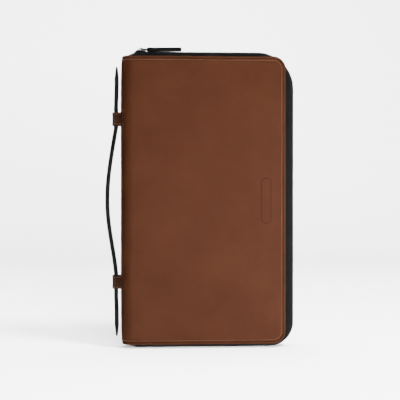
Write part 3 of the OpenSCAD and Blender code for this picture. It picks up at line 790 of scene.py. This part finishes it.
keep_up_lo, keep_up_hi = box("keeper_upper")
keep_low_lo, keep_low_hi = box("keeper_lower")
grip_lo, grip_hi = box("handle_grip")
end_up_lo, end_up_hi = box("handle_end_upper")
end_low_lo = box("handle_end_lower")[0]
STRAP_W = grip_hi[1] - grip_lo[1]
STOP_W = end_up_hi[1] - end_up_lo[1]
STRAP_T = end_up_hi[0] - end_up_lo[0]
STRAP_X = (end_up_hi[0] + end_up_lo[0]) / 2
STRAP_SKIN = STRAP_T - 0.15
SHOULDER = 13
BOW = STRAP_X - STRAP_T / 2 - grip_lo[0]
GRIP_LOW, GRIP_HIGH = keep_low_hi[2] + 1, keep_up_lo[2] - 1
GRIP_MID = (GRIP_LOW + GRIP_HIGH) / 2
GRIP_HALF = (GRIP_HIGH - GRIP_LOW) / 2


def strap_x(z):
    """Middle of the strap: halfway between a plain bow and one that leaves the keepers straight."""
    z = np.asarray(z, float)
    t = np.clip(np.abs(z - GRIP_MID) / GRIP_HALF, 0, 1)
    full = 0.55 + 0.3 * smooth((z - GRIP_MID + 20) / 40)
    bow = BOW * (full * np.cos(t * math.pi / 2) + (1 - full) * 0.5 * (1 + np.cos(t * math.pi)))
    past = np.maximum(z - keep_up_hi[2] - 5, keep_low_lo[2] - 5 - z)
    return STRAP_X - bow + 0.5 * smooth(past / 16)


def strap_half(name, up, tip, shoulder):
    """Half the strap, from the middle of the grip to one tip."""
    length = abs(tip - GRIP_MID)
    last = length - 8.5 * (1 - np.sin(np.linspace(0, math.pi / 2, 14)))
    at = np.concatenate([np.arange(0, length - 9, 1.5), last])
    tip_r = STOP_W / 2 - 2
    centres, sections = [], []
    for run in at:
        z = GRIP_MID + up * run
        past = up * (z - shoulder)
        w = STRAP_W + (STOP_W - STRAP_W) * float(smooth((past + 0.6) / 1.2))
        left = length - run
        if left < tip_r:
            w -= 2 * (tip_r - math.sqrt(max(tip_r**2 - (tip_r - left) ** 2, 0)))
        t = STRAP_SKIN * (1 - 0.5 * float(smooth(1 - left / 11)))
        if left < 0.9:
            t *= math.sqrt(max(1 - (1 - left / 0.9) ** 2, 0.05))
        centres.append(np.array([float(strap_x(z)), 0, z]))
        sections.append(round_section(w, t, 0.9))
    centres = np.array(centres)
    way = unit(np.gradient(centres, axis=0)) * up
    across = np.tile([0.0, 1.0, 0.0], (len(at), 1))
    out = np.stack([way[:, 2], np.zeros(len(at)), -way[:, 0]], 1)
    verts, faces = sweep(centres, across, out, sections, caps=False)
    n = len(sections[0])
    faces.append([(len(at) - 1) * n + j for j in range(n)])
    return make(name, verts, faces, STRAP, sharp=70)


def strap_face(y, z, d, out):
    """Point d under the strap's outer face (out = -1) or its inner one (out = 1)."""
    y, z, d = np.broadcast_arrays(*(np.asarray(a, float) for a in (y, z, d)))
    x = strap_x(z) + out * (STRAP_SKIN / 2 - d)
    return np.stack([x, y, z], -1)


for up, tip, shoulder, word in (
    (1, end_up_hi[2], keep_up_hi[2] + SHOULDER, "upper"),
    (-1, end_low_lo[2], keep_low_lo[2] - SHOULDER, "lower"),
):
    body = "handle_end_" + word
    half = strap_half("strap_" + word, up, tip, shoulder)
    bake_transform(half)
    finish_piece(half, nodes=[body, "handle_grip"])
    inner, outer = STRAP_W / 2 - 1.6, STOP_W / 2 - 1.8
    paths = [
        [
            (y * inner, GRIP_MID), (y * inner, shoulder - up * 1),
            (y * outer, shoulder + up * 3), (y * outer, tip - up * 8.5),
        ]
        for y in (-1, 1)
    ]
    for out, face in ((-1, "outer"), (1, "inner")):
        row = stitches(
            "strap_%s_%s_stitches" % (word, face), paths, lambda y, z, d: strap_face(y, z, d, out),
            DARK_THREAD, extra=lambda y, z: 0.2 + 0 * y, length=1.8, radius=0.24,
        )
        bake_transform(row)
        finish_piece(row)


def keeper(name, low, high):
    """Loop of leather round the strap, with wings that lie on the spine."""
    mid, tall = (low[2] + high[2]) / 2, high[2] - low[2]
    outer_x = low[0]
    thick = 1.0
    wing = [(s, -0.55) for s in np.linspace(FLAT + 6.2, FLAT + 4.2, 4)]
    half_line = [place(s, 0, d, 1)[:2] for s, d in wing]
    side_y = min(high[1], SPINE_R) if high[1] < 7 else STRAP_W / 2 + 0.85
    half_line += [
        (LEFT + 0.15, side_y + 1.3), (LEFT - 1.0, side_y + 0.15), (LEFT - 2.4, side_y),
        (outer_x + 2.2, side_y), (outer_x + 0.9, side_y - 0.25), (outer_x + 0.5, side_y - 1.3),
        (outer_x + 0.5, 1.5),
    ]
    points = np.array([(x, y) for x, y in half_line] + [(x, -y) for x, y in half_line[::-1]])
    for _ in range(2):
        cut = [points[0]]
        for a, b in zip(points, points[1:]):
            cut += [0.75 * a + 0.25 * b, 0.25 * a + 0.75 * b]
        points = np.array(cut + [points[-1]])
    points = densify(points, 0.7, False)
    way = unit(np.gradient(points, axis=0))
    out = np.stack([way[:, 1], -way[:, 0]], 1)
    if out[len(out) // 2][0] > 0:
        out = -out
    centres = np.stack([points[:, 0], points[:, 1], np.full(len(points), mid)], 1)
    outs = np.stack([out[:, 0], out[:, 1], np.zeros(len(out))], 1)
    ups = np.tile([0.0, 0.0, 1.0], (len(out), 1))
    sections = []
    for i in range(len(points)):
        from_end = min(i, len(points) - 1 - i) * 0.7
        tuck = 1.0 * max(0, 1 - from_end / 1.4) ** 2
        sections.append(round_section(tall - 0.1 - 2 * tuck, thick - 0.3 * (tuck > 0), 0.38, 4))
    parts = Parts()
    parts.add(*sweep(centres, ups, outs, sections))
    wall = round_section(2 * side_y - 0.6, 1.2, 0.4, 3)
    parts.add(*sweep(
        [np.array([LEFT - 0.95, 0, z]) for z in (mid - tall / 2 + 0.4, mid + tall / 2 - 0.4)],
        [np.array([0, 1.0, 0])] * 2, [np.array([1.0, 0, 0])] * 2, [wall] * 2,
    ))
    finish_piece(parts.make(name, KEEPER, sharp=50), "spine", [name])
    length = np.concatenate([[0], np.cumsum(np.linalg.norm(np.diff(points, axis=0), axis=1))])

    def on_keeper(u, v, d):
        u = np.asarray(u, float)
        x, y = np.interp(u, length, points[:, 0]), np.interp(u, length, points[:, 1])
        nx, ny = np.interp(u, length, out[:, 0]), np.interp(u, length, out[:, 1])
        lift = thick / 2 - d
        return np.stack([x + nx * lift, y + ny * lift, np.asarray(v, float) + 0 * u], -1)

    paths = [[(1.5, mid + k), (length[-1] - 1.5, mid + k)] for k in (-tall / 2 + 1.5, tall / 2 - 1.5)]
    row = stitches(name + "_stitches", paths, on_keeper, THREAD, length=1.5, radius=0.24, pitch=2.1)
    finish_piece(row, "spine")


keeper("keeper_upper", keep_up_lo, keep_up_hi)
keeper("keeper_lower", keep_low_lo, keep_low_hi)


# ---- Slider and pull ----


def polish(names, material, width):
    """Metal CAD nodes: a material and softened edges."""
    for n in names:
        o = frame["nodes"][n]
        o.data.materials.clear()
        o.data.materials.append(material)
        m = o.modifiers.new("soft_edges", "BEVEL")
        m.width = width * MM
        m.segments = 2
        m.limit_method = "ANGLE"
        m.angle_limit = math.radians(35)
        m.use_clamp_overlap = True


polish(["zip_slider_body", "zip_stops_front", "zip_stops_back"], METAL, 0.18)
polish(["zip_slider_crown", "zip_pull_link", "zip_pull_rivet"], DARK_METAL, 0.18)
polish(["pocket_slider_body", "pocket_slider_crown", "pocket_pull"], METAL, 0.12)
polish(["front_board", "back_board"], BOARD, 0.2)

tab_lo, tab_hi = box("zip_pull_tab")
pull_joint = next(j for j in frame["joints"] if j["name"] == "zip_pull_swing")
pivot = np.array(pull_joint["pos_m"]) / MM
TAB_T, TAB_PAD = 2.2, 0.72
tilt = math.atan2(tab_hi[2] - TAB_T / 2 - pivot[2], tab_hi[0] - pivot[0])
pull_u = np.array([math.cos(tilt), 0, math.sin(tilt)])
pull_up = np.array([-math.sin(tilt), 0, math.cos(tilt)])
pull_v = np.array([0, 1.0, 0])
tab_u0 = tab_lo[0] - pivot[0]
tab_u1 = (tab_hi[0] - pivot[0]) / math.cos(tilt)
tab_half = (tab_hi[1] - tab_lo[1]) / 2
outline = ring((tab_u0, tab_u1, -tab_half, tab_half), 2.4, 0.6)
tab_parts = Parts()
tab_parts.add(*slab(outline, -TAB_T / 2 - TAB_PAD, TAB_T / 2, 0.5, (pivot, pull_u, pull_v, pull_up)))
tab = tab_parts.make("pull_tab_leather", STRAP, sharp=60)
finish_piece(tab, "zip_pull", ["zip_pull_tab"])
for k, word in ((1, "top"), (-1, "under")):

    def on_tab(u, v, d, k=k):
        h = k * (TAB_T / 2 - d) - (k < 0) * TAB_PAD
        return pivot + u[..., None] * pull_u + v[..., None] * pull_v + h[..., None] * pull_up

    line = ring((tab_u0 + 6.2, tab_u1 - 1.3, -tab_half + 1.3, tab_half - 1.3), 1.4, 0.4)
    row = stitches(
        "pull_tab_stitches_" + word, [line], on_tab, DARK_THREAD,
        extra=lambda u, v: 0.12 + 0 * u, length=1.3, radius=0.2, pitch=1.9, closed=True,
    )
    finish_piece(row, "zip_pull")


# ---- Pockets ----

PANEL_RIM = [
    (0, 0.5), (0.12, 0.25), (0.35, 0.07), (0.7, 0),
    (1.1, 0.02), (1.3, 0.12), (1.5, 0.02), (2.4, 0.0),
]
PANEL_R = 2.0
COIN_PITCH = 1.7
UPRIGHT = ((0, 0, 0), (1, 0, 0), (0, 0, 1), (0, 1, 0))


def pocket_sink(u, v):
    """How deep the pockets' stitches lie in the leather."""
    return 0.03 + 0 * u


def panel(node, side, hole=None, seams="all"):
    """Pocket leather that stands for a flat CAD panel, facing the middle of the case.

    seams is "all" for stitches round three sides, or how far they run down from the opening.
    """
    lo, hi = box(node)
    rect = (lo[0], hi[0], lo[2], hi[2])
    thick = hi[1] - lo[1]
    face = hi[1] if side == FRONT else lo[1]
    body = SIDES[side] + "_cover"

    def on_panel(x, z, d):
        x, z, d = np.broadcast_arrays(*(np.asarray(a, float) for a in (x, z, d)))
        return np.stack([x, face + side * d, z], -1)

    profile = [(e, d * thick) for e, d in PANEL_RIM]
    columns, rows = np.arange(rect[0] + 5, rect[1], 9), np.arange(rect[2] + 5, rect[3], 9)
    name = node + "_leather"
    obj = sheet(
        name, rect, PANEL_R, profile, on_panel, thick, INNER, columns, rows, step=2.0, hole=hole,
    )
    finish_piece(obj, body, [node])
    x0, x1, z0, _ = shrink(rect, 2.6)
    top = rect[3] - 1.5
    if seams == "all":
        paths = [[(x0, top), (x0, z0), (x1, z0), (x1, top)]]
    else:
        paths = [[(x, top), (x, rect[3] - seams)] for x in (x0, x1)]
    row = stitches(name + "_stitches", paths, on_panel, THREAD, extra=pocket_sink, length=1.7, radius=0.22)
    finish_piece(row, body)
    return on_panel


for i in range(1, 9):
    panel("card_pocket_%d" % i, FRONT, seams="all" if i % 4 == 0 else 13)

tape_lo, tape_hi = box("zip_pocket_tape")
coin_lo, coin_hi = box("zip_pocket_chain")
coin_mid = (coin_lo[2] + coin_hi[2]) / 2
slot_rect = (tape_lo[0] + 1, tape_hi[0] - 1, coin_mid - 3, coin_mid + 3)
on_document = panel("document_pocket", BACK, hole=slot_rect)
row = stitches(
    "zip_pocket_stitches", [ring(shrink(slot_rect, -1.9), 2.6, 0.5)], on_document, THREAD,
    extra=pocket_sink, length=1.6, radius=0.22, closed=True,
)
finish_piece(row, "back_cover")
panel("passport_pocket", BACK)


def edge_piping(name, node):
    """U-shaped gusset along a pocket's sides and bottom."""
    lo, hi = box(node)
    t, w = hi[1] - lo[1], 4.0
    x0, x1, z0 = lo[0] + w / 2, hi[0] - w / 2, lo[2] + w / 2
    bend = corner(x0 + 2, z0 + 2, 2, 180, 270, 6) + corner(x1 - 2, z0 + 2, 2, -90, 0, 6)
    line = densify([(x0, hi[2] - 0.3), (x0, z0 + 2)] + bend + [(x1, hi[2] - 0.3)], 3, False)
    way = unit(np.gradient(line, axis=0))
    centres = np.stack([line[:, 0], np.full(len(line), (lo[1] + hi[1]) / 2), line[:, 1]], 1)
    out = np.stack([-way[:, 1], np.zeros(len(line)), way[:, 0]], 1)
    depth = np.tile([0.0, 1.0, 0.0], (len(line), 1))
    parts = Parts()
    parts.add(*sweep(centres, out, depth, [round_section(w, t, t * 0.4)] * len(line)))
    finish_piece(parts.make(name, INNER, sharp=60), "back_cover", [node])


edge_piping("document_pocket_gusset", "document_edge_strip")
edge_piping("passport_pocket_gusset", "passport_edge_strip")

cloth_lo, cloth_hi = box("zip_pocket_lining")
outline = ring((cloth_lo[0], cloth_hi[0], cloth_lo[2], cloth_hi[2]), 2, 1.5)
bevel = min(0.3, (cloth_hi[1] - cloth_lo[1]) * 0.45)
parts = Parts()
parts.add(*slab(outline, cloth_lo[1], cloth_hi[1], bevel, UPRIGHT))
obj = parts.make("zip_pocket_back", POCKET_CLOTH, sharp=60)
finish_piece(obj, "back_cover", ["zip_pocket_lining"])

parts = Parts()
for z0, z1 in ((tape_lo[2], coin_mid - 0.4), (coin_mid + 0.4, tape_hi[2])):
    outline = ring((tape_lo[0], tape_hi[0], z0, z1), 0.4, 2)
    parts.add(*slab(outline, tape_lo[1], tape_hi[1], 0.12, UPRIGHT))
obj = parts.make("zip_pocket_tape_cloth", POCKET_CLOTH, sharp=60)
finish_piece(obj, "back_cover", ["zip_pocket_tape"])

parts = Parts()
for k, x in enumerate(np.arange(coin_lo[0] + 0.8, coin_hi[0] - 0.6, COIN_PITCH / 2)):
    z0, z1 = (coin_mid - 0.45, coin_hi[2]) if k % 2 else (coin_lo[2], coin_mid + 0.45)
    outline = ring((x - 0.38, x + 0.38, z0, z1), 0.2, 0.5)
    parts.add(*slab(outline, coin_lo[1], coin_hi[1], 0.15, UPRIGHT, 2))
obj = parts.make("zip_pocket_teeth", TEETH, sharp=40)
finish_piece(obj, "back_cover", ["zip_pocket_chain"])


# ---- Pen loop ----

pen_lo, pen_hi = box("pen_loop")
PEN_WALL = 0.8
pen_r = (pen_hi[0] - pen_lo[0]) / 2 - PEN_WALL
pen_x = pen_hi[0] - pen_r - PEN_WALL
loop = Parts()
rim = round_section(pen_hi[2] - pen_lo[2], PEN_WALL, 0.35, 4)
around = 48
angles = np.linspace(0, 2 * math.pi, around + 1)[:-1]
middle = np.array([pen_x, 0, (pen_lo[2] + pen_hi[2]) / 2])
rays = np.stack([np.cos(angles), np.sin(angles), 0 * angles], 1)
ring_mid = middle + rays * (pen_r + PEN_WALL / 2)
loop.add(*sweep(ring_mid, np.tile([0, 0, 1.0], (around, 1)), rays, [rim] * around, closed=True))
half_flat = min((pen_hi[1] - pen_lo[1]) / 2, FLAT)
outline = ring((-half_flat, half_flat, pen_lo[2], pen_hi[2]), 0.6, 1.5)
on_spine = ((pen_lo[0], 0, 0), (0, 1, 0), (0, 0, 1), (1, 0, 0))
loop.add(*slab(outline, 0, PEN_WALL, 0.2, on_spine))
finish_piece(loop.make("pen_loop_leather", STRAP, sharp=60), "spine", ["pen_loop"])


# ---- Studio ----


def studio():
    """Pale floor that runs up into a wall, soft light from the right in front, and the camera."""
    turns = np.linspace(0.1, math.pi / 2, 12)
    cove = [(1.2 + 0.8 * math.sin(a), 0.8 - 0.8 * math.cos(a)) for a in turns]
    line = [(-3.0, 0.0), (1.2, 0.0)] + cove + [(2.0, 3.5)]
    verts = [(x / MM, y / MM, z / MM) for y, z in line for x in (-4, 4)]
    faces = [[2 * i, 2 * i + 1, 2 * i + 3, 2 * i + 2] for i in range(len(line) - 1)]
    paper = plain("paper", (0.80, 0.80, 0.80), (0.79, 0.79, 0.79), 0.9, 60, 0.02)
    nodes, links = paper.node_tree.nodes, paper.node_tree.links
    path = nodes.new("ShaderNodeLightPath")
    seen = mixed(nodes, links, path.outputs["Is Camera Ray"], (0.04,) * 3, (0.82,) * 3)
    links.new(seen, nodes["Principled BSDF"].inputs["Base Color"])
    floor = make("floor", verts, faces, paper, fix_normals=False)

    world = bpy.data.worlds.new("studio")
    world.use_nodes = True
    nodes, links = world.node_tree.nodes, world.node_tree.links
    path = nodes.new("ShaderNodeLightPath")
    glow = math_node(nodes, links, "MULTIPLY", path.outputs["Is Camera Ray"], 3.4)
    links.new(math_node(nodes, links, "ADD", glow, 0.03), nodes["Background"].inputs["Strength"])
    nodes["Background"].inputs["Color"].default_value = (1.0, 1.0, 1.0, 1)
    bpy.context.scene.world = world

    case = (0, 0, 0.11)
    for name, at, target, size, energy in (
        ("key", (0.42, -0.29, 0.09), case, 0.17, 1.1),
        ("fill", (-0.9, -1.2, 0.7), case, 0.9, 0.1),
        ("top", (0.25, 0.15, 1.3), case, 1.0, 2),
        ("floor_wash", (0.60, -0.80, 1.30), case, 0.45, 120),
        ("floor_sky", (0, 0, 2.8), (0, 0, 0), 5.0, 260),
        ("floor_front", (0.25, -1.90, 0.30), case, 0.5, 330),
        ("floor_wall", (0, 0.6, 1.6), (0, 1.8, 0.4), 1.6, 110),
    ):
        data = bpy.data.lights.new(name, "AREA")
        data.size = size
        data.energy = energy
        lamp = bpy.data.objects.new(name, data)
        lamp.location = at
        if name.startswith("floor"):  # these lamps light the floor only
            lit = bpy.data.collections.new(name)
            lit.objects.link(floor)
            lamp.light_linking.receiver_collection = lit
        lamp.rotation_mode = "QUATERNION"
        lamp.rotation_quaternion = (Vector(target) - lamp.location).to_track_quat("-Z", "Y")
        bpy.context.scene.collection.objects.link(lamp)

    data = bpy.data.cameras.new("camera")
    camera = bpy.data.objects.new("camera", data)
    bpy.context.scene.collection.objects.link(camera)
    azimuth = math.radians(-4.5)
    distance = 1.0
    eye = (ZIP_TOP / 2 + 9) * MM
    aim = Vector((0.3 * MM, 0.0, (ZIP_TOP / 2 - 0.5) * MM))
    camera.location = (distance * math.sin(azimuth), -distance * math.cos(azimuth), eye)
    camera.rotation_mode = "QUATERNION"
    camera.rotation_quaternion = (aim - camera.location).to_track_quat("-Z", "Y")
    data.sensor_width = 36
    data.lens = 108.8
    data.clip_start, data.clip_end = 0.05, 50
    bpy.context.scene.camera = camera


studio()
